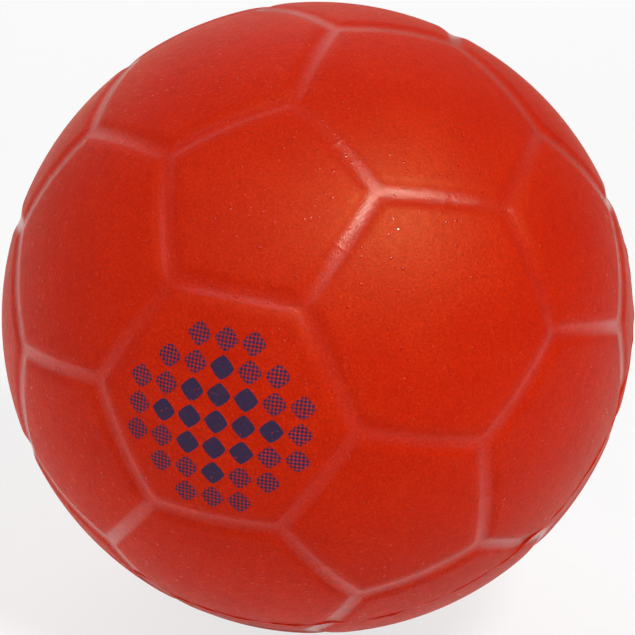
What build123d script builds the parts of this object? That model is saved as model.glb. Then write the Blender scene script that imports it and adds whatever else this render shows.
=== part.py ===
from build123d import *
from math import radians, sqrt, tan
import os

# A soft air-filled handball: a one-piece moulded foam cover over a rubber bladder, with a needle valve.
# Millimetres. The origin is the ball's centre, +Z is up, -Y looks out of the front panel
# and +Y runs out through the valve, in the middle of the panel behind.

# Foam cover
ball_diameter = 150.0
cover_wall = 6.0

# Moulded groove between two panels: a flat floor, a flank on each side and a gentler shoulder above it
floor_width = 1.8
flank_run = 1.6
flank_drop = 0.4
shoulder_run = 1.6
shoulder_drop = 0.25

# Bladder, and the film of glue that bonds it to the cover and to the valve's flange
bladder_wall = 1.2
bond_film = 0.3

# Valve housing: a rubber stem through cover and bladder, with a flange inside the bladder
valve_recess = 0.5
stem_diameter = 10.0
stem_clearance = 0.15
mouth_chamfer = 0.8
flange_diameter = 26.0
flange_thickness = 1.4
housing_end_wall = 1.5
air_hole_diameter = 1.6

# Valve core: the plug that seals by itself and takes the inflating needle
core_length = 13.0
core_head_diameter = 6.4
core_head_thickness = 1.6
core_shank_diameter = 5.0
core_tip_length = 2.0
core_tip_diameter = 2.6
running_clearance = 0.05
needle_diameter = 1.9
needle_clearance = 0.05
needle_depth = 10.5
needle_lead_in = 0.6

# Every cut runs past its surface by this much
overrun = 1.0

# Sizes that follow from those above
ball_radius = ball_diameter / 2
cover_inner_radius = ball_radius - cover_wall
groove_depth = flank_drop + shoulder_drop
knee_width = floor_width + 2 * flank_run
bladder_radius = cover_inner_radius - bond_film
bladder_inner_radius = bladder_radius - bladder_wall
flange_radius_of_curve = bladder_inner_radius - bond_film
valve_face = ball_radius - valve_recess
core_end = valve_face - core_length
housing_end = core_end - housing_end_wall
stem_hole_diameter = stem_diameter + 2 * stem_clearance

CENTRE = (0, 0, 0)


def panel_axes():
    """Directions of the twelve five-sided and the twenty six-sided panels, as on a classic ball."""
    golden = (1 + sqrt(5)) / 2
    corners = []
    for short in (-1, 1):
        for long in (-golden, golden):
            corners += [Vector(0, short, long), Vector(long, 0, short), Vector(short, long, 0)]
    back = -Vector(1, 1, 1).normalized()
    top = Vector(0, 1, golden)
    up = (top - back * top.dot(back)).normalized()
    right = back.cross(up)
    pentagons = [Vector(c.dot(right), c.dot(back), c.dot(up)).normalized() for c in corners]
    hexagons = []
    for i, first in enumerate(pentagons):
        for j, second in enumerate(pentagons[:i]):
            for third in pentagons[:j]:
                if max(first.get_angle(second), second.get_angle(third), third.get_angle(first)) < 90:
                    hexagons.append((first + second + third).normalized())
    return pentagons, hexagons


def groove_ring():
    """The space of one groove on a great circle square to +Z, with its sides run out past the surface."""
    mouth_rise = shoulder_drop + overrun
    mouth = knee_width / 2 + mouth_rise * shoulder_run / shoulder_drop
    upper_half = [
        (ball_radius - groove_depth, floor_width / 2),
        (ball_radius - shoulder_drop, knee_width / 2),
        (ball_radius + overrun, mouth),
    ]
    lower_half = [(radius, -height) for radius, height in reversed(upper_half)]
    outline = Plane.XZ * Polyline(*upper_half, *lower_half, close=True)
    return revolve(make_face(outline), Axis.Z)


def panel_skin(sides, reach):
    """Outer faces of one panel about +Z, out to the middle of the grooves around it."""
    top = ball_radius + overrun
    polygon = RegularPolygon(top * tan(radians(reach)), sides, major_radius=False, rotation=180 / sides)
    pyramid = loft([Vertex(CENTRE), Pos(0, 0, top) * polygon], ruled=True)
    cell = pyramid & Sphere(ball_radius)
    tilted_ring = Rot(0, 90 + reach, 0) * groove_ring()
    for side in range(sides):
        cell -= Rot(0, 0, 360 / sides * side) * tilted_ring
    return [face for face in cell.faces() if face.distance_to(Vertex(CENTRE)) > cover_inner_radius]


def grooved_ball():
    """The whole ball as one solid, its panels parted by the moulded grooves."""
    pentagons, hexagons = panel_axes()
    hexagon_reach = min(hexagons[0].get_angle(other) for other in hexagons[1:]) / 2
    pentagon_reach = min(pentagons[0].get_angle(other) for other in hexagons) - hexagon_reach
    skin = []
    for sides, reach, axes, others in (
        (5, pentagon_reach, pentagons, hexagons),
        (6, hexagon_reach, hexagons, pentagons),
    ):
        panel = panel_skin(sides, reach)
        for axis in axes:
            facing = min(others, key=axis.get_angle)
            sideways = facing - axis * facing.dot(axis)
            place = Plane(origin=CENTRE, x_dir=sideways, z_dir=axis).location
            skin += [place * face for face in panel]
    return Solid(Shell(skin))


def along_valve(radius, start, end):
    """A round bar on the valve's axis, from one distance from the ball's centre to another."""
    bar = Cylinder(radius, end - start, align=(Align.CENTER, Align.CENTER, Align.MIN))
    return Rot(-90, 0, 0) * Pos(0, 0, start) * bar


def turned(outline):
    """A solid turned about the valve's axis from an outline of radius and distance from the ball's centre."""
    return revolve(make_face(Polyline(*outline, close=True)), Axis.Y)


def foam_cover():
    """Moulded foam shell with a chamfered hole for the valve's stem."""
    hole = stem_hole_diameter / 2
    mouth = sqrt(ball_radius ** 2 - (hole + mouth_chamfer) ** 2)
    countersink = turned([
        (0, mouth - mouth_chamfer),
        (hole, mouth - mouth_chamfer),
        (hole + mouth_chamfer, mouth),
        (hole + mouth_chamfer, ball_radius + overrun),
        (0, ball_radius + overrun),
    ])
    shell = grooved_ball() - Sphere(cover_inner_radius)
    return shell - along_valve(hole, 0, ball_radius + overrun) - countersink


def bladder():
    """Airtight rubber balloon with a hole for the valve's stem."""
    balloon = Sphere(bladder_radius) - Sphere(bladder_inner_radius)
    return balloon - along_valve(stem_hole_diameter / 2, 0, ball_radius)


def valve_housing():
    """Rubber stem with a domed flange, bored in steps for the core and with an air hole at its inner end."""
    flange_shell = Sphere(flange_radius_of_curve) - Sphere(flange_radius_of_curve - flange_thickness)
    flange = flange_shell & along_valve(flange_diameter / 2, 0, ball_radius)
    stem = along_valve(stem_diameter / 2, housing_end, valve_face)
    head_bore = core_head_diameter / 2 + running_clearance
    shank_bore = core_shank_diameter / 2 + running_clearance
    head_seat = valve_face - core_head_thickness
    housing = stem + flange
    housing -= along_valve(head_bore, head_seat, ball_radius + overrun)
    housing -= along_valve(shank_bore, core_end, ball_radius)
    return housing - along_valve(air_hole_diameter / 2, housing_end - overrun, ball_radius)


def valve_core():
    """Stepped rubber plug with a pointed end and a blind channel for the needle."""
    needle = needle_diameter / 2 + needle_clearance
    head_seat = valve_face - core_head_thickness
    plug = turned([
        (0, core_end),
        (core_tip_diameter / 2, core_end),
        (core_shank_diameter / 2, core_end + core_tip_length),
        (core_shank_diameter / 2, head_seat),
        (core_head_diameter / 2, head_seat),
        (core_head_diameter / 2, valve_face),
        (0, valve_face),
    ])
    lead_in = turned([
        (0, valve_face - needle_lead_in),
        (needle, valve_face - needle_lead_in),
        (needle + needle_lead_in, valve_face),
        (needle + needle_lead_in, ball_radius + overrun),
        (0, ball_radius + overrun),
    ])
    return plug - lead_in - along_valve(needle, valve_face - needle_depth, ball_radius + overrun)


os.makedirs("parts", exist_ok=True)
export_step(foam_cover(), "parts/foam_cover.step")
export_step(bladder(), "parts/bladder.step")
export_step(valve_housing(), "parts/valve_housing.step")
export_step(valve_core(), "parts/valve_core.step")
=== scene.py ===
from math import asin, atan2, cos, pi, radians, sin, sqrt, tan

import bmesh
import bpy
import numpy as np
from mathutils import Matrix, Vector


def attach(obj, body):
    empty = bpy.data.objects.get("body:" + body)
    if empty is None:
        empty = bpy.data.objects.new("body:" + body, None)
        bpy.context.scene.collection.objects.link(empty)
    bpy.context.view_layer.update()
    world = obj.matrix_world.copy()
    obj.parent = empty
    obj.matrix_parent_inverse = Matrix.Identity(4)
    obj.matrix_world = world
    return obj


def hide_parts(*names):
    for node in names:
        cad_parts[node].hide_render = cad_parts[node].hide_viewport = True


# A soft air-filled handball on a plain pale floor.
# The frame is the CAD's: the origin is the ball's centre, +Z is up, -Y looks out of the front panel
# and +Y runs out through the valve. Lengths are in millimetres and become metres in the scene.

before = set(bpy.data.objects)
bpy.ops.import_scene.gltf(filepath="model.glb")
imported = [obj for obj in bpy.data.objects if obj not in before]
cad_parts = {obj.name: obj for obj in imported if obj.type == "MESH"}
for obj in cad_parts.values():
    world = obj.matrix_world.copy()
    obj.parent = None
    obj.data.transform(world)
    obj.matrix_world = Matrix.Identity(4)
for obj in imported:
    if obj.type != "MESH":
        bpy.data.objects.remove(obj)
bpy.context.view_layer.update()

MM = 0.001

# Directions from the ball's centre count as the same, or close by, above this dot product
ALIKE = 0.9

# Foam cover: each groove is a soft round valley, a little deeper in some places than in others
BALL_RADIUS = 75.0
COVER_WALL = 6.0
GROOVE_DEPTH = 0.65
GROOVE_HALF_WIDTH = 4.2
CORNER_SOFTNESS = 0.2
DEPTH_VARIATION = 0.1
DEPTH_WAVE = 45.0
RIPPLE_WAVES = 6
WAVE_SEED = 3
PHASE_SEED = 4

# Mesh of one panel: columns along each side, and rows at these distances from the middle of the groove
SIDE_STEPS = 20
NICK_COLUMNS = (0.25, 0.55)
RIM_ROWS = (0.0, 0.3, 0.6, 0.9, 1.2, 1.5, 1.8, 2.15, 2.5, 2.85, 3.2, 3.6, 4.1, 5.0)
INNER_ROW_STEP = 2.3
HALVING_ROWS = (0.45, 0.68, 0.85)
PANEL_MARGIN = 1.35
RIM_SLACK = 0.001
MERGE_DISTANCE = 1e-5
KEY_DIGITS = 3

# Small cross ribs that the mould leaves in the middle of a groove, each as strong as chance has it
NICK_HEIGHT = 0.08
NICK_WIDTH = 0.3
NICK_LEAST = 0.15
NICK_SEED = 7

# Valve hole in the cover: a rounded lip, and rows down its wall as shares of the wall's height
HOLE_RADIUS = 5.15
LIP = 0.8
LIP_STEPS = 5
HOLE_ROWS = 9
WALL_ROWS = (0.66, 0.33, 0.0)
INNER_ROWS = 40

# Flash where the two halves of the mould meet: a low ridge, with a web across each groove
FLASH_STEP = 0.35
FLASH_HALF_WIDTH = 0.36
FLASH_HEIGHT = 0.38
FLASH_FOOT = 0.35
FLASH_EDGE = 0.02
FLASH_SWAY = 0.12
WEB_SHARE = 0.45
WEB_SPREAD = 0.8
PARTING_POLE = (0.0598, -0.8022, 0.5941)

# The ridge is full on the ball's right, thins out between these places across it, and ends under the skin
FLASH_FULL = -15.0
FLASH_ENDS = -45.0
FLASH_SINK = 0.1

# Section of the ridge: across in half widths, and up in shares of its height,
# or in millimetres where it is below the skin
FLASH_SECTION = (
    (-1.0, -FLASH_FOOT),
    (-1.0, -FLASH_EDGE),
    (-0.4, 0.7),
    (0.0, 1.0),
    (0.3, 0.85),
    (1.0, -FLASH_EDGE),
    (1.0, -FLASH_FOOT),
)

# How the ridge wavers along its length: the steps that each wavering is smooth over, and its seed
BREAKS = (6, 11)
CHIPS = (2, 12)
SWELLS = (5, 13)
SWAYS = (6, 14)
SMOOTHING_REACH = 3
BREAK_GAIN = 2.6
BREAK_LEVEL = 0.65
CHIP_DEPTH = 0.6
THINNEST = 0.6
SWELLING = 0.6

# Print on the front panel: a harlequin of lozenges, solid in its middle and in a screen of dots around it
PRINT_MIDDLE = -1.5
PRINT_PITCH = 6.2
PRINT_LOZENGE = 0.44
PRINT_ROUNDING = 1.3
PRINT_STEPS = 4.5
PRINT_SPAN = 3.5
LOZENGE_EDGE = 0.02
SOLID_STEPS = 2.5
SCREEN_PITCH = 0.86
SCREEN_DOT = 0.46
DOT_EDGE = 0.12

# Patterns in the foam: the size of their features, their detail and its roughness
CLOUDS = (14.0, 3.0, 0.5)
MOTTLE = (2.2, 3.0, 0.6)
GRAIN = (0.6, 3.0, 0.65)
STREAKS = (0.8, 2.0, 0.5)
# Sand: fine paler, whiter specks, partly the foam's own grain and partly painted sparkle
SAND_AND_SPARKLE = (0.55, 3.0, 0.7)
FACETS = (0.55, 2.0, 0.65)
INK_WEAR = (0.8, 3.0, 0.7)
STREAK_SHARE = 0.12
ASIDE = (7.0, 3.0, 5.0)

# Pin holes and beads: their pitch, the share of places without one, and the largest radius
PITS = (1.6, 0.45, 0.24)
BEADS = (1.5, 0.35, 0.34)
SPOT_EDGE = (-0.3, 0.5)

# The groove's shoulders, where the pin holes are, and its polished middle, by the share of its depth
SHOULDER_STARTS = (0.03, 0.2)
SHOULDER_ENDS = (0.35, 0.6)
POLISHED = (0.4, 0.97)
PIT_SHARE = (0.05, 0.8)

# How strongly each pattern tints the foam: from and to which value it rises, and its least and most
CLOUD_TINT = (0.3, 0.7, 0.0, 1.0)
MOTTLE_TINT = (0.45, 0.75, 0.0, 0.35)
GRAIN_TINT = (0.35, 0.75, 0.0, 0.9)
SAND_AND_SPARKLE_TINT = (0.5, 0.8, 0.0, 0.9)
STREAK_TINT = (0.55, 0.75, 0.0, 0.3)
INK_LEFT = (0.3, 0.36)
# How strongly the pin holes are darkened: painted shade in the holes
PIT_SHADE = 0.8

# Relief of the foam's patterns, and of the clear gloss over them
STREAK_RELIEF = 0.03
GRAIN_RELIEF = 0.1
BEAD_RELIEF = 0.12
FACET_RELIEF = 0.15
BEAD_GLOSS_RELIEF = 0.11

# Gloss of the foam: rougher and smoother patches, bright beads, and a polish that shows most at a slant
FOAM_ROUGHNESS = (0.3, 0.7, 0.45, 0.52)
BEAD_SMOOTHING = 0.35
BEAD_GLOSS = 0.6
POLISH_SLANT = (0.1, 0.45, 0.6, 1.0)
FOAM_SHADER = {
    "Specular IOR Level": 0.11,
    "Specular Tint": (1.0, 0.72, 0.3, 1.0),
    "Sheen Weight": 0.08,
    "Sheen Roughness": 0.3,
    "Sheen Tint": (1.0, 0.85, 0.5, 1.0),
    "Coat Roughness": 0.2,
    "Coat IOR": 1.28,
}

# Rubber of the bladder and the valve: darker, smoother patches and lighter, rougher ones, and a fine grain
RUBBER_PATCHES = (3.5, 4.0, 0.6)
RUBBER_GRAIN = (0.35, 3.0, 0.6)
RUBBER_TINT = (0.3, 0.7)
RUBBER_RUB = (0.25, 0.75)
RUBBER_SMOOTHER = 0.07
RUBBER_ROUGHER = 0.08
RUBBER_RELIEF = 0.03

# The camera, read off the photograph's 635 x 635 frame
FRAME_PIXELS = 635
OUTLINE_RADIUS_PIXELS = 315.85
CAMERA_AZIMUTH = 15.10
CAMERA_ELEVATION = 18.94
CAMERA_ROLL = 6.15
CAMERA_DISTANCE = 10.03 * BALL_RADIUS
SENSOR_WIDTH = 36.0
CLIP_START = 10.0

# Lamps: direction to the camera's right, up and back, light on the ball, distance, size,
# what they show in, and tint
COLOUR = "colour"
GLOSS = "gloss"
BOTH = "both"
WHITE = (1.0, 1.0, 1.0)
WARM = (1.0, 1.0, 0.88)
COOL = (0.6, 0.75, 1.0)
KEY_SIDE = (0.43, 0.547, 0.719)
LAMPS = {
    "key": (KEY_SIDE, 2.1, 1100.0, 300.0, COLOUR, WHITE),
    "glint": (KEY_SIDE, 6.6, 1000.0, 175.0, GLOSS, WARM),
    "strip": ((0.05, 0.53, 0.85), 1.3, 1200.0, 300.0, GLOSS, WHITE),
    "window": ((-0.4, 0.52, 0.76), 1.0, 1200.0, 300.0, GLOSS, COOL),
    "rim_right": ((0.4, 0.55, -0.7), 0.1, 1500.0, 1400.0, GLOSS, WARM),
    "sky": ((-0.35, 0.8, -0.5), 0.8, 2000.0, 2400.0, BOTH, WHITE),
    "fill_left": ((-0.75, 0.3, 0.6), 0.3, 1500.0, 1000.0, COLOUR, WHITE),
    "fill_front": ((-0.15, 0.0, 0.98), 0.25, 1500.0, 800.0, COLOUR, WHITE),
    "fill_back": ((0.1, 0.75, -0.65), 0.8, 1500.0, 1200.0, COLOUR, WHITE),
    "side_left": ((-0.93, 0.35, -0.1), 0.6, 1500.0, 600.0, COLOUR, WHITE),
    "side_right": ((0.93, 0.3, -0.2), 0.08, 1500.0, 600.0, COLOUR, WHITE),
    "rear": ((0.0, 0.4, -0.92), 0.6, 1500.0, 800.0, COLOUR, WHITE),
}
WORLD_LIGHT = 0.12

# Floor of pale paper, with a glow that makes it near white to the eye and keeps the ball's shadow
FLOOR_HALF = 2500.0
FLOOR_PAPER = (3.0, 4.0)
FLOOR_DARK = (0.86, 0.86, 0.86, 1.0)
FLOOR_LIGHT = (0.9, 0.9, 0.9, 1.0)
FLOOR_ROUGHNESS = 0.9
FLOOR_GLOW = 0.75
PLAIN_WHITE = (1.0, 1.0, 1.0, 1.0)


def linear(red, green, blue):
    """A colour written as it shows on screen, 0 to 255, as the shader takes it."""
    parts = [channel / 255 for channel in (red, green, blue)]
    return [c / 12.92 if c <= 0.04045 else ((c + 0.055) / 1.055) ** 2.4 for c in parts] + [1.0]


FOAM_RED = linear(202, 29, 2)
FOAM_LIGHT = linear(209, 37, 5)
FOAM_DARK = linear(184, 21, 0)
# Darker red painted into the pin holes: painted shade
PIT_SHADE_RED = linear(150, 12, 2)
INK_NAVY = linear(56, 41, 74)
# Deeper red painted on the flash ridge: painted shade in place of the sheen it lacks
FLASH_SHADE_RED = linear(196, 27, 4)
# Paler, whiter red of the sand specks: partly the foam's own grain, partly painted sparkle
SAND_AND_SPARKLE_RED = linear(222, 55, 20)

# For each rubber piece, its material's name, its darker and lighter colour, and its roughness
RUBBERS = {
    "bladder": ("bladder_rubber", linear(38, 36, 35), linear(52, 50, 48), 0.6),
    "valve_housing": ("housing_rubber", linear(18, 18, 19), linear(30, 30, 31), 0.48),
    "valve_core": ("core_rubber", linear(30, 30, 33), linear(44, 44, 47), 0.5),
}


def unit(v):
    """Vectors brought to length one."""
    return v / np.linalg.norm(v, axis=-1, keepdims=True)


def panel_layout():
    """Axis and ordered corner directions of the twelve five-sided and the twenty six-sided panels."""
    golden = (1 + sqrt(5)) / 2
    corners = []
    for short in (-1, 1):
        for long in (-golden, golden):
            corners += [(0, short, long), (long, 0, short), (short, long, 0)]
    corners = np.array(corners)
    back = -np.ones(3) / sqrt(3)
    top = np.array((0, 1, golden))
    up = unit(top - back * top.dot(back))
    right = np.cross(back, up)
    pentagons = unit(corners @ np.array((right, back, up)).T)
    near = pentagons @ pentagons.T
    joined = (near > 0) & (near < ALIKE)
    loops = []
    # A panel's corner lies a third of the way from one five-sided panel's axis to the next one's
    for i, first in enumerate(pentagons):
        loops.append((first, [2 * first + pentagons[j] for j in np.flatnonzero(joined[i])]))
    for i in range(len(pentagons)):
        for j in range(i):
            for k in range(j):
                if joined[i, j] and joined[j, k] and joined[i, k]:
                    three = pentagons[[i, j, k]]
                    pairs = [2 * a + b for a in three for b in three if a @ b < ALIKE]
                    loops.append((unit(three.sum(axis=0)), pairs))
    panels = []
    for axis, ring in loops:
        ring = unit(np.array(ring))
        aside = unit(ring[0] - axis * (ring[0] @ axis))
        across = np.cross(axis, aside)
        panels.append((axis, ring[np.argsort(np.arctan2(ring @ across, ring @ aside))]))
    return panels


PANELS = panel_layout()


def panel_planes():
    """For every panel, the inward normals, middles and directions of its sides."""
    planes = []
    for axis, ring in PANELS:
        ahead = np.roll(ring, -1, axis=0)
        planes.append((unit(np.cross(ring, ahead)), unit(ring + ahead), unit(ahead - ring)))
    return planes


PLANES = panel_planes()


def ripple(points, size):
    """A smooth wavering between -1 and 1 over the ball, of about that size in millimetres."""
    waves = np.random.default_rng(WAVE_SEED).normal(size=(RIPPLE_WAVES, 3))
    phases = np.random.default_rng(PHASE_SEED).uniform(0, 2 * pi, RIPPLE_WAVES)
    return np.sin(points @ (unit(waves) * (2 * pi * BALL_RADIUS / size)).T + phases).mean(axis=1)


def side_key(middle):
    """The middle of a side, rounded, so that it is the same from both panels."""
    return tuple(np.round(middle, KEY_DIGITS) + 0.0)


rng = np.random.default_rng(NICK_SEED)
NICK_STRENGTH = {}
for _, middles, _ in PLANES:
    for middle in middles:
        if side_key(middle) not in NICK_STRENGTH:
            NICK_STRENGTH[side_key(middle)] = rng.uniform(NICK_LEAST, 1.0)


def sunk(points):
    """How far the skin lies below the full ball in these directions, and as a share of a groove's depth."""
    depth = np.zeros(len(points))
    share = np.zeros(len(points))
    for (axis, _), (normals, middles, runs) in zip(PANELS, PLANES):
        reach = asin(normals[0] @ axis)
        near = np.flatnonzero(points @ axis > cos(reach * PANEL_MARGIN))
        offsets = np.arcsin(points[near] @ normals.T) * BALL_RADIUS
        inside = offsets.min(axis=1) > -RIM_SLACK
        near, offsets = near[inside], offsets[inside]
        soft = -CORNER_SOFTNESS * np.log(np.exp(-offsets / CORNER_SOFTNESS).sum(axis=1))
        valley = 0.5 + 0.5 * np.cos(pi * np.clip(soft / GROOVE_HALF_WIDTH, 0, 1))
        rib = np.zeros(len(near))
        for side in range(len(normals)):
            along = points[near] @ runs[side] * BALL_RADIUS
            strength = NICK_STRENGTH[side_key(middles[side])]
            close = np.exp(-(along / NICK_WIDTH) ** 2) * (points[near] @ middles[side] > ALIKE)
            rib += strength * close * valley
        depth[near] = GROOVE_DEPTH * valley - NICK_HEIGHT * rib
        share[near] = valley
    depth *= 1 + DEPTH_VARIATION * ripple(points, DEPTH_WAVE)
    return depth, share


def side_columns():
    """Places along a side from 0 to 1, closer together about the middle, where the cross rib is."""
    length = BALL_RADIUS * np.arccos(PANELS[0][1][0] @ PANELS[0][1][1])
    places = [step / SIDE_STEPS for step in range(SIDE_STEPS)]
    places += [0.5 + way * gap / length for gap in NICK_COLUMNS for way in (-1, 1)]
    return np.sort(places)


def arc(start, end, share):
    """The direction at a share of the way along the great circle from start to end."""
    turn = np.arccos(np.clip((start * end).sum(axis=-1, keepdims=True), -1, 1))
    return (np.sin((1 - share) * turn) * start + np.sin(share * turn) * end) / np.sin(turn)


class Skin:
    """Vertices and faces gathered from the panels."""

    def __init__(self):
        self.points = []
        self.faces = []
        self.count = 0

    def ring(self, points):
        """Adds a ring of points and gives their numbers."""
        self.points.append(points)
        self.count += len(points)
        return np.arange(self.count - len(points), self.count)

    def band(self, outer, inner):
        """Faces between two rings; the inner one has as many points as the outer one, or half of them."""
        after = np.roll(outer, -1)
        if len(inner) == len(outer):
            self.faces += np.stack((outer, after, np.roll(inner, -1), inner), axis=1).tolist()
            return
        even, odd, last = outer[::2], outer[1::2], np.roll(outer[::2], -1)
        ahead = np.roll(inner, -1)
        for corner_set in ((even, odd, inner), (odd, last, ahead), (odd, ahead, inner)):
            self.faces += np.stack(corner_set, axis=1).tolist()


def panel_mesh(skin, axis, ring, holed):
    """One panel from the middle of the grooves around it to its centre, or to the valve's hole."""
    columns = side_columns()[:, None]
    ahead = np.roll(ring, -1, axis=0)
    rim = np.concatenate([arc(here[None], there[None], columns) for here, there in zip(ring, ahead)])
    normal = unit(np.cross(ring[0], ring[1]))
    reach = asin(normal @ axis)
    turns = np.arccos(rim @ axis)
    rows = list(RIM_ROWS)
    if not holed:
        span = reach * BALL_RADIUS - RIM_ROWS[-1]
        count = int(round(span / INNER_ROW_STEP))
        rows += [RIM_ROWS[-1] + span * step / count for step in range(1, count)]
    outer = None
    halvings = 0
    for row in rows:
        share = np.arcsin(np.sin(row / BALL_RADIUS) * np.sin(turns) / sin(reach)) / turns
        while halvings < len(HALVING_ROWS) and row / (reach * BALL_RADIUS) > HALVING_ROWS[halvings]:
            halvings += 1
        points = arc(rim, axis[None], share[:, None])[::2 ** halvings]
        inner = skin.ring(points)
        if outer is not None:
            skin.band(outer, inner)
        outer = inner
    if not holed:
        centre = skin.ring(axis[None])[0]
        after = np.roll(outer, -1)
        skin.faces += [[int(a), int(b), int(centre)] for a, b in zip(outer, after)]
        return
    last = np.arccos(points @ axis)
    away = unit(points - axis * (points @ axis)[:, None])
    mouth = asin((HOLE_RADIUS + LIP) / BALL_RADIUS)
    for step in range(1, HOLE_ROWS + 1):
        tilt = last + (mouth - last) * step / HOLE_ROWS
        inner = skin.ring(np.cos(tilt)[:, None] * axis + np.sin(tilt)[:, None] * away)
        skin.band(outer, inner)
        outer = inner


def merged_skin():
    """The whole outer skin as directions, with the panels' rims joined, open only at the valve's hole."""
    skin = Skin()
    for axis, ring in PANELS:
        panel_mesh(skin, axis, ring, holed=axis[1] > ALIKE)
    mesh = bpy.data.meshes.new("skin")
    mesh.from_pydata(np.concatenate(skin.points).tolist(), [], skin.faces)
    bm = bmesh.new()
    bm.from_mesh(mesh)
    bpy.data.meshes.remove(mesh)
    bmesh.ops.remove_doubles(bm, verts=bm.verts, dist=MERGE_DISTANCE)
    return bm


def close_cover(bm):
    """The hole's rounded lip and wall, and the cover's inner face."""
    edges = [edge for edge in bm.edges if edge.is_boundary]
    rim = sorted({v for edge in edges for v in edge.verts}, key=lambda v: atan2(v.co.z, v.co.x))
    headings = [atan2(v.co.z, v.co.x) for v in rim]
    inner_radius = BALL_RADIUS - COVER_WALL
    mouth = sqrt(BALL_RADIUS ** 2 - (HOLE_RADIUS + LIP) ** 2)
    profile = []
    for step in range(1, LIP_STEPS + 1):
        turn = pi / 2 * step / LIP_STEPS
        profile.append((HOLE_RADIUS + LIP * (1 - sin(turn)), mouth - LIP * (1 - cos(turn))))
    edge_height = sqrt(inner_radius ** 2 - HOLE_RADIUS ** 2)
    wall = mouth - LIP - edge_height
    profile += [(HOLE_RADIUS, edge_height + wall * share) for share in WALL_ROWS]
    start = asin(HOLE_RADIUS / inner_radius)
    for step in range(1, INNER_ROWS):
        turn = start + (pi - start) * step / INNER_ROWS
        profile.append((inner_radius * sin(turn), inner_radius * cos(turn)))
    outer = rim
    for radius, height in profile:
        inner = [bm.verts.new((radius * cos(h), height, radius * sin(h))) for h in headings]
        for here in range(len(rim)):
            after = (here + 1) % len(rim)
            bm.faces.new((outer[here], outer[after], inner[after], inner[here]))
        outer = inner
    pole = bm.verts.new((0, -inner_radius, 0))
    for here in range(len(rim)):
        bm.faces.new((outer[here], outer[(here + 1) % len(rim)], pole))


def wander(count, size, seed):
    """A closed line of count values between 0 and 1, smooth over about size steps."""
    values = np.random.default_rng(seed).uniform(0, 1, count)
    span = SMOOTHING_REACH * size
    weights = np.exp(-(np.arange(-span, span + 1) / size) ** 2)
    padded = np.concatenate((values[-span:], values, values[:span]))
    smooth = np.convolve(padded, weights / weights.sum(), mode="valid")
    return (smooth - smooth.min()) / (smooth.max() - smooth.min())


def parting_flash(bm, ridge):
    """The thin ridge where the mould's halves met: broken, and standing up as a web across the grooves."""
    pole = unit(np.array(PARTING_POLE))
    first = unit(np.cross(pole, (1, 0, 0)))
    second = np.cross(pole, first)
    count = int(round(2 * pi * BALL_RADIUS / FLASH_STEP))
    turns = 2 * pi * np.arange(count) / count
    line = np.cos(turns)[:, None] * first + np.sin(turns)[:, None] * second
    depth, share = sunk(line)
    unbroken = np.clip(BREAK_GAIN * wander(count, *BREAKS) - BREAK_LEVEL, 0, 1)
    chipped = 1 - CHIP_DEPTH + CHIP_DEPTH * wander(count, *CHIPS)
    present = np.clip((line[:, 0] * BALL_RADIUS - FLASH_ENDS) / (FLASH_FULL - FLASH_ENDS), 0, 1)
    left = unbroken * chipped * present
    height = FLASH_HEIGHT * left + WEB_SHARE * GROOVE_DEPTH * share - FLASH_SINK * (1 - present)
    thickness = THINNEST + SWELLING * wander(count, *SWELLS)
    width = FLASH_HALF_WIDTH * thickness * (1 + WEB_SPREAD * share)
    sway = FLASH_SWAY * (wander(count, *SWAYS) - 0.5)
    surface = BALL_RADIUS - depth
    rings = []
    for across, rise in FLASH_SECTION:
        lift = np.where(rise > 0, height * rise, rise)
        side = across * width + sway
        points = line * (surface + lift)[:, None] + pole * side[:, None]
        rings.append([bm.verts.new(point) for point in points])
        for vert, strength in zip(rings[-1], np.maximum(left, share)):
            vert[ridge] = strength
    for one, two in zip(rings, rings[1:] + rings[:1]):
        for here in range(count):
            after = (here + 1) % count
            bm.faces.new((one[here], one[after], two[after], two[here]))


def foam_cover():
    """The moulded cover and its flash in one mesh, with each point's place in a groove or on the flash."""
    bm = merged_skin()
    bm.verts.layers.float.new("flash")
    valley = bm.verts.layers.float.new("groove")
    points = unit(np.array([v.co for v in bm.verts]))
    depth, share = sunk(points)
    for vert, place, deep in zip(bm.verts, points * (BALL_RADIUS - depth)[:, None], share):
        vert.co = place
        vert[valley] = deep
    close_cover(bm)
    parting_flash(bm, bm.verts.layers.float["flash"])
    bmesh.ops.recalc_face_normals(bm, faces=bm.faces)
    bmesh.ops.scale(bm, vec=(MM, MM, MM), verts=bm.verts)
    for face in bm.faces:
        face.smooth = True
    mesh = bpy.data.meshes.new("foam_cover_skin")
    bm.to_mesh(mesh)
    bm.free()
    cover = bpy.data.objects.new("foam_cover_skin", mesh)
    bpy.context.scene.collection.objects.link(cover)
    return cover


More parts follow.
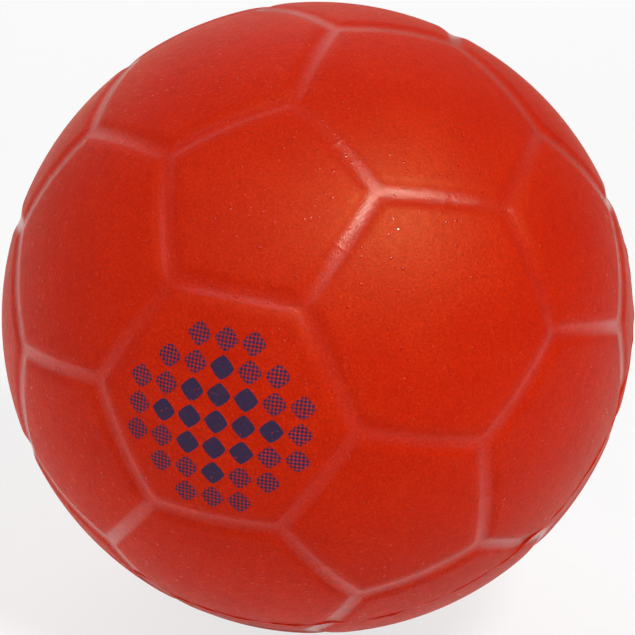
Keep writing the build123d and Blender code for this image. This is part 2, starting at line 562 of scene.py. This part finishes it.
class Nodes:
    """Small helper that adds and links shader nodes."""

    # Sockets of a colour mix: its share, first and second colour, and result
    SHARE, FIRST, SECOND, RESULT = 0, 6, 7, 2

    def __init__(self, material):
        material.use_nodes = True
        self.tree = material.node_tree
        self.shader = self.tree.nodes["Principled BSDF"]

    def add(self, kind, inputs=None, **settings):
        """A new node with these settings and inputs."""
        node = self.tree.nodes.new(kind)
        for name, value in settings.items():
            setattr(node, name, value)
        for name, value in (inputs or {}).items():
            self.feed(node.inputs[name], value)
        return node

    def feed(self, socket, value):
        """Links a socket to another node's output, or sets it to a plain value."""
        if isinstance(value, bpy.types.NodeSocket):
            self.tree.links.new(value, socket)
        else:
            socket.default_value = value

    def math(self, operation, first, second=0.0):
        """The result of a sum on one or two values."""
        node = self.add("ShaderNodeMath", operation=operation)
        self.feed(node.inputs[0], first)
        self.feed(node.inputs[1], second)
        return node.outputs[0]

    def ramp(self, value, low, high, to_low=0.0, to_high=1.0):
        """The value from low to high, taken smoothly to another range."""
        inputs = {"Value": value, "From Min": low, "From Max": high, "To Min": to_low, "To Max": to_high}
        return self.add("ShaderNodeMapRange", inputs, interpolation_type="SMOOTHSTEP").outputs["Result"]

    def mix(self, share, first, second):
        """The first colour with a share of the second."""
        node = self.add("ShaderNodeMix", data_type="RGBA")
        self.feed(node.inputs[self.SHARE], share)
        self.feed(node.inputs[self.FIRST], first)
        self.feed(node.inputs[self.SECOND], second)
        return node.outputs[self.RESULT]

    def attribute(self, name):
        """A number that the mesh keeps at its vertices."""
        return self.add("ShaderNodeAttribute", attribute_name=name).outputs["Fac"]

    def millimetres(self):
        """The object's own coordinates in millimetres."""
        place = self.add("ShaderNodeTexCoord").outputs["Object"]
        return self.add("ShaderNodeMapping", {"Vector": place, "Scale": [1 / MM] * 3}).outputs[0]

    def spots(self, vector, pitch, rarest, largest):
        """Round spots about a pitch apart, from nothing to the largest radius: one in their middle."""
        cells = self.add("ShaderNodeTexVoronoi", {"Vector": vector, "Scale": 1 / pitch})
        chance = self.add("ShaderNodeSeparateColor", {"Color": cells.outputs["Color"]}).outputs[0]
        distance = self.math("MULTIPLY", cells.outputs["Distance"], pitch)
        radius = self.ramp(chance, rarest, 1.0, 0.0, largest)
        inside = self.math("SUBTRACT", radius, distance)
        return self.ramp(inside, SPOT_EDGE[0] * largest, SPOT_EDGE[1] * largest)

    def drawn_out(self, vector, axis, share):
        """Coordinates that run at full rate along the axis and at only a share of it across."""
        height = self.add("ShaderNodeVectorMath", operation="DOT_PRODUCT")
        self.feed(height.inputs[0], vector)
        self.feed(height.inputs[1], axis)
        fine = self.add("ShaderNodeVectorMath", operation="SCALE")
        self.feed(fine.inputs[0], axis)
        self.feed(fine.inputs["Scale"], self.math("MULTIPLY", height.outputs["Value"], 1 - share))
        coarse = self.add("ShaderNodeVectorMath", operation="SCALE")
        self.feed(coarse.inputs[0], vector)
        self.feed(coarse.inputs["Scale"], share)
        total = self.add("ShaderNodeVectorMath", operation="ADD")
        self.feed(total.inputs[0], fine.outputs[0])
        self.feed(total.inputs[1], coarse.outputs[0])
        return total.outputs[0]

    def noise(self, vector, size, detail, roughness=0.5):
        """Noise whose features are about size millimetres across."""
        inputs = {"Vector": vector, "Scale": 1 / size, "Detail": detail, "Roughness": roughness}
        return self.add("ShaderNodeTexNoise", inputs).outputs["Fac"]

    def bump(self, height, distance, under=None):
        """A normal for relief of this height in millimetres, over the relief under it."""
        node = self.add("ShaderNodeBump", {"Height": height, "Distance": distance * MM})
        if under is not None:
            self.feed(node.inputs["Normal"], under)
        return node.outputs[0]


def grid(nodes, value, pitch):
    """Which cell of a grid a value is in, and how far it is from its middle, both without a sign."""
    turns = nodes.math("DIVIDE", value, pitch)
    number = nodes.math("ROUND", turns)
    return nodes.math("ABSOLUTE", number), nodes.math("ABSOLUTE", nodes.math("SUBTRACT", turns, number))


def print_mask(nodes, place):
    """How much ink there is on the front panel."""
    across, deep, high = nodes.add("ShaderNodeSeparateXYZ", {"Vector": place}).outputs
    high = nodes.math("SUBTRACT", high, PRINT_MIDDLE)
    column, aside = grid(nodes, across, PRINT_PITCH)
    row, above = grid(nodes, high, PRINT_PITCH)
    powers = [nodes.math("POWER", gap, PRINT_ROUNDING) for gap in (aside, above)]
    from_middle = nodes.math("POWER", nodes.math("ADD", *powers), 1 / PRINT_ROUNDING)
    lozenge = nodes.ramp(nodes.math("SUBTRACT", PRINT_LOZENGE, from_middle), -LOZENGE_EDGE, LOZENGE_EDGE)
    steps = nodes.math("ADD", column, row)
    farthest = nodes.math("MAXIMUM", column, row)
    shown = nodes.math("LESS_THAN", steps, PRINT_STEPS)
    shown = nodes.math("MULTIPLY", shown, nodes.math("LESS_THAN", farthest, PRINT_SPAN))
    shown = nodes.math("MULTIPLY", shown, nodes.math("LESS_THAN", deep, 0.0))
    squares = [nodes.math("POWER", grid(nodes, value, SCREEN_PITCH)[1], 2.0) for value in (across, high)]
    from_dot = nodes.math("SQRT", nodes.math("ADD", *squares))
    dots = nodes.ramp(nodes.math("SUBTRACT", SCREEN_DOT, from_dot), -DOT_EDGE, DOT_EDGE)
    tone = nodes.math("MAXIMUM", dots, nodes.math("LESS_THAN", steps, SOLID_STEPS))
    return nodes.math("MULTIPLY", nodes.math("MULTIPLY", lozenge, shown), tone)


def foam_material():
    """Moulded foam: mottled and grainy, with pin holes in painted shade, beads, an inked print and polished
    grooves; paler sand specks partly of painted sparkle, and a flash ridge in painted shade.
    """
    material = bpy.data.materials.new("foam_red")
    nodes = Nodes(material)
    sockets = nodes.shader.inputs
    place = nodes.millimetres()
    aside = nodes.add("ShaderNodeMapping", {"Vector": place, "Location": ASIDE}).outputs[0]
    groove = nodes.attribute("groove")
    mottle = nodes.noise(place, *MOTTLE)
    grain = nodes.noise(place, *GRAIN)
    streaks = nodes.noise(nodes.drawn_out(place, PARTING_POLE, STREAK_SHARE), *STREAKS)
    below_rim = nodes.ramp(groove, *SHOULDER_STARTS)
    below_shoulder = nodes.ramp(groove, *SHOULDER_ENDS)
    shoulder = nodes.math("SUBTRACT", below_rim, below_shoulder)
    pit = nodes.math("MULTIPLY", nodes.spots(place, *PITS), nodes.ramp(shoulder, 0.0, 1.0, *PIT_SHARE))
    bead = nodes.spots(aside, *BEADS)

    colour = FOAM_RED
    tints = (
        (nodes.noise(place, *CLOUDS), CLOUD_TINT, FOAM_LIGHT),
        (mottle, MOTTLE_TINT, FOAM_DARK),
        (grain, GRAIN_TINT, FOAM_DARK),
        # Sand specks: partly the foam's own grain, partly painted sparkle
        (nodes.noise(aside, *SAND_AND_SPARKLE), SAND_AND_SPARKLE_TINT, SAND_AND_SPARKLE_RED),
        (streaks, STREAK_TINT, FOAM_LIGHT),
    )
    for pattern, strength, paint in tints:
        colour = nodes.mix(nodes.ramp(pattern, *strength), colour, paint)
    ink_left = nodes.ramp(nodes.noise(place, *INK_WEAR), *INK_LEFT)
    colour = nodes.mix(nodes.math("MULTIPLY", print_mask(nodes, place), ink_left), colour, INK_NAVY)
    # Pin holes painted darker: painted shade in their hollows
    colour = nodes.mix(nodes.math("MULTIPLY", pit, PIT_SHADE), colour, PIT_SHADE_RED)
    # The flash ridge is painted a deeper red: painted shade, standing in for the missing sheen on its flank
    colour = nodes.mix(nodes.attribute("flash"), colour, FLASH_SHADE_RED)
    nodes.feed(sockets["Base Color"], colour)

    normal = nodes.bump(streaks, STREAK_RELIEF)
    normal = nodes.bump(grain, GRAIN_RELIEF, normal)
    normal = nodes.bump(nodes.math("SUBTRACT", bead, pit), BEAD_RELIEF, normal)
    nodes.feed(sockets["Normal"], normal)

    smoothing = nodes.math("MULTIPLY", bead, BEAD_SMOOTHING)
    nodes.feed(sockets["Roughness"], nodes.math("SUBTRACT", nodes.ramp(mottle, *FOAM_ROUGHNESS), smoothing))
    slant = nodes.add("ShaderNodeLayerWeight").outputs["Facing"]
    polish = nodes.math("MULTIPLY", nodes.ramp(groove, *POLISHED), nodes.ramp(slant, *POLISH_SLANT))
    gloss = nodes.math("MAXIMUM", polish, nodes.math("MULTIPLY", bead, BEAD_GLOSS))
    nodes.feed(sockets["Coat Weight"], gloss)
    facets = nodes.math("MULTIPLY", nodes.noise(place, *FACETS), nodes.math("SUBTRACT", 1.0, bead))
    sparkle = nodes.bump(facets, FACET_RELIEF)
    nodes.feed(sockets["Coat Normal"], nodes.bump(bead, BEAD_GLOSS_RELIEF, sparkle))
    for name, value in FOAM_SHADER.items():
        sockets[name].default_value = value
    return material


def rubber_material(name, dark, light, roughness):
    """Plain moulded rubber with slightly uneven colour and gloss."""
    material = bpy.data.materials.new(name)
    nodes = Nodes(material)
    sockets = nodes.shader.inputs
    place = nodes.millimetres()
    patches = nodes.noise(place, *RUBBER_PATCHES)
    grain = nodes.noise(place, *RUBBER_GRAIN)
    rough = nodes.ramp(patches, *RUBBER_RUB, roughness - RUBBER_SMOOTHER, roughness + RUBBER_ROUGHER)
    nodes.feed(sockets["Base Color"], nodes.mix(nodes.ramp(patches, *RUBBER_TINT), dark, light))
    nodes.feed(sockets["Roughness"], rough)
    nodes.feed(sockets["Normal"], nodes.bump(grain, RUBBER_RELIEF))
    return material


def look_matrix(back, place, roll=0.0):
    """A camera's or lamp's matrix at place, with its back turned that way, and its right and up."""
    level_right = unit(np.cross((0, 0, 1), back))
    level_up = np.cross(back, level_right)
    right = level_right * cos(roll) + level_up * sin(roll)
    up = level_up * cos(roll) - level_right * sin(roll)
    matrix = Matrix(np.array((right, up, back)).T.tolist()).to_4x4()
    matrix.translation = Vector(np.asarray(place) * MM)
    return matrix, right, up


def add_camera():
    """The photograph's view, and its right, up and back directions."""
    azimuth, elevation = radians(CAMERA_AZIMUTH), radians(CAMERA_ELEVATION)
    back = np.array((sin(azimuth) * cos(elevation), -cos(azimuth) * cos(elevation), sin(elevation)))
    data = bpy.data.cameras.new("camera")
    camera = bpy.data.objects.new("camera", data)
    bpy.context.scene.collection.objects.link(camera)
    camera.matrix_world, right, up = look_matrix(back, back * CAMERA_DISTANCE, radians(CAMERA_ROLL))
    outline = tan(asin(BALL_RADIUS / CAMERA_DISTANCE))
    data.sensor_width = SENSOR_WIDTH
    data.lens = SENSOR_WIDTH / 2 / (outline * FRAME_PIXELS / 2 / OUTLINE_RADIUS_PIXELS)
    data.clip_start = CLIP_START * MM
    bpy.context.scene.camera = camera
    return right, up, back


def add_lamp(name, direction, light, distance, size, shows, tint):
    """A round soft lamp with this much light on the ball, which shows in its colour, its gloss or both."""
    data = bpy.data.lights.new(name, "AREA")
    data.color = tint
    data.shape = "DISK"
    data.size = size * MM
    data.energy = light * pi * (distance * MM) ** 2
    lamp = bpy.data.objects.new(name, data)
    bpy.context.scene.collection.objects.link(lamp)
    lamp.matrix_world = look_matrix(direction, direction * distance)[0]
    lamp.visible_camera = False
    lamp.visible_diffuse = shows != GLOSS
    lamp.visible_glossy = shows != COLOUR


def add_world():
    """A low even light from all around."""
    world = bpy.data.worlds.new("studio")
    world.use_nodes = True
    background = world.node_tree.nodes["Background"]
    background.inputs["Color"].default_value = PLAIN_WHITE
    background.inputs["Strength"].default_value = WORLD_LIGHT
    bpy.context.scene.world = world


def seen_directly(nodes):
    """One where a ray comes from the camera, from a mirror reflection or through glass."""
    path = nodes.add("ShaderNodeLightPath")
    seen = path.outputs["Is Camera Ray"]
    for name in ("Is Glossy Ray", "Is Transmission Ray"):
        seen = nodes.math("MAXIMUM", seen, path.outputs[name])
    return seen


def add_floor():
    """The plain pale floor that the ball lies on."""
    half = FLOOR_HALF * MM
    mesh = bpy.data.meshes.new("floor")
    corners = [(-half, -half), (half, -half), (half, half), (-half, half)]
    mesh.from_pydata([(x, y, -BALL_RADIUS * MM) for x, y in corners], [], [(0, 1, 2, 3)])
    floor = bpy.data.objects.new("floor", mesh)
    bpy.context.scene.collection.objects.link(floor)
    material = bpy.data.materials.new("floor_white")
    nodes = Nodes(material)
    paper = nodes.noise(nodes.millimetres(), *FLOOR_PAPER)
    nodes.feed(nodes.shader.inputs["Base Color"], nodes.mix(paper, FLOOR_DARK, FLOOR_LIGHT))
    nodes.shader.inputs["Roughness"].default_value = FLOOR_ROUGHNESS
    glow = nodes.add("ShaderNodeEmission", {"Color": PLAIN_WHITE, "Strength": 1.0})
    blend = nodes.add("ShaderNodeMixShader")
    nodes.feed(blend.inputs[0], nodes.math("MULTIPLY", seen_directly(nodes), FLOOR_GLOW))
    nodes.feed(blend.inputs[1], nodes.shader.outputs[0])
    nodes.feed(blend.inputs[2], glow.outputs[0])
    nodes.feed(nodes.tree.nodes["Material Output"].inputs["Surface"], blend.outputs[0])
    mesh.materials.append(material)


cover = foam_cover()
cover.data.materials.append(foam_material())
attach(cover, "ball")
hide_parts("foam_cover")

for node, (name, dark, light, roughness) in RUBBERS.items():
    rubber = rubber_material(name, dark, light, roughness)
    for material_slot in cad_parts[node].material_slots:
        material_slot.material = rubber

right, up, back = add_camera()
for name, (toward, light, distance, size, shows, tint) in LAMPS.items():
    direction = unit(np.array(toward) @ np.array((right, up, back)))
    add_lamp(name, direction, light, distance, size, shows, tint)
add_world()
add_floor()
bpy.context.scene.view_settings.view_transform = "Standard"
